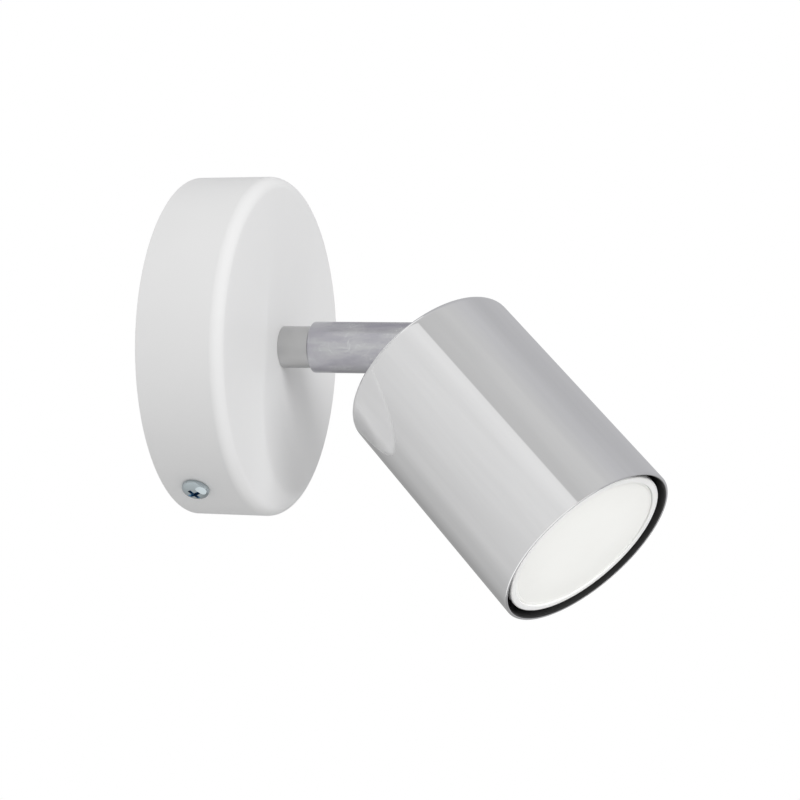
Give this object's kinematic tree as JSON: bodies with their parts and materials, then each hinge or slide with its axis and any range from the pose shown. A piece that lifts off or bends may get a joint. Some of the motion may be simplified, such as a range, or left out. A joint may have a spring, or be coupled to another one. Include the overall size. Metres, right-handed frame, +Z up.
{
  "type": "pivoting spotlight wall light",
  "caption": "Wall spotlight: a round white canopy carries a short chrome arm that swivels and a tilting cylindrical chrome head with a twist-and-lock lamp.",
  "frame": {"origin": "middle of the fixing plate's back, on the wall", "axes": "+Z up the wall, +Y into the wall, so the light reaches out towards -Y; +X to the right when facing the wall"},
  "size_m": [0.1, 0.1422, 0.1251],
  "materials": {
    "white_paint": "satin white paint on steel",
    "grey_satin": "satin grey metal",
    "bright_chrome": "polished chrome",
    "cloudy_chrome": "cloudy plated steel",
    "zinc_steel": "bluish zinc plated steel",
    "plain_steel": "zinc plated sheet steel",
    "brass": "turned brass",
    "white_ceramic": "unglazed lamp holder ceramic",
    "block_plastic": "heat resisting block plastic",
    "lamp_white": "white lamp body",
    "lamp_diffuser": "frosted diffuser",
    "board_metal": "metal core board",
    "live_sleeve": "brown silicone sleeve",
    "neutral_sleeve": "blue silicone sleeve",
    "earth_sleeve": "green and yellow sleeve",
    "head_sleeve": "white silicone sleeve"
  },
  "bodies": {
    "base": {"wall_plate": "plain_steel", "canopy": "white_paint", "canopy_side_screws": "zinc_steel", "swivel_stem": "plain_steel", "stem_washer": "plain_steel", "stem_nut": "plain_steel", "collar": "grey_satin", "swivel_stop_pin": "plain_steel", "terminal_block": "block_plastic", "terminal_inserts": "brass", "terminal_screws": "plain_steel", "lead_live": "live_sleeve", "lead_neutral": "neutral_sleeve", "earth_screw": "brass", "earth_lead": "earth_sleeve"},
    "arm": {"arm_tube": "cloudy_chrome", "slip_washer": "plain_steel", "arm_knuckle": "cloudy_chrome", "pivot_screw": "plain_steel", "arm_leads": "head_sleeve"},
    "head": {"head_knuckle": "cloudy_chrome", "pivot_washer": "plain_steel", "head_shell": "bright_chrome", "knuckle_washer": "plain_steel", "knuckle_nut": "plain_steel", "socket_holder": "plain_steel", "socket_body": "white_ceramic", "socket_contacts": "brass", "socket_screws": "plain_steel", "head_leads": "head_sleeve"},
    "lamp": {"lamp_body": "lamp_white", "lamp_diffuser": "lamp_diffuser", "lamp_light_board": "board_metal", "lamp_pins": "plain_steel"}
  },
  "joints": [
    {"name": "arm_swivel", "type": "hinge", "parent": "base", "child": "arm", "pos_m": [0, 0, 0], "axis": [0, 1, 0], "range_deg": [-183.5, 136.5]},
    {"name": "head_tilt", "type": "hinge", "parent": "arm", "child": "head", "pos_m": [0, -0.0647, 0], "axis": [0.9171, 0, -0.3987], "range_deg": [-135.7, 44.3]},
    {"name": "lamp_twist", "type": "hinge", "parent": "head", "child": "lamp", "pos_m": [0, -0.0647, 0], "axis": [-0.2854, -0.6984, -0.6563], "range_deg": [0, 35]}
  ]
}
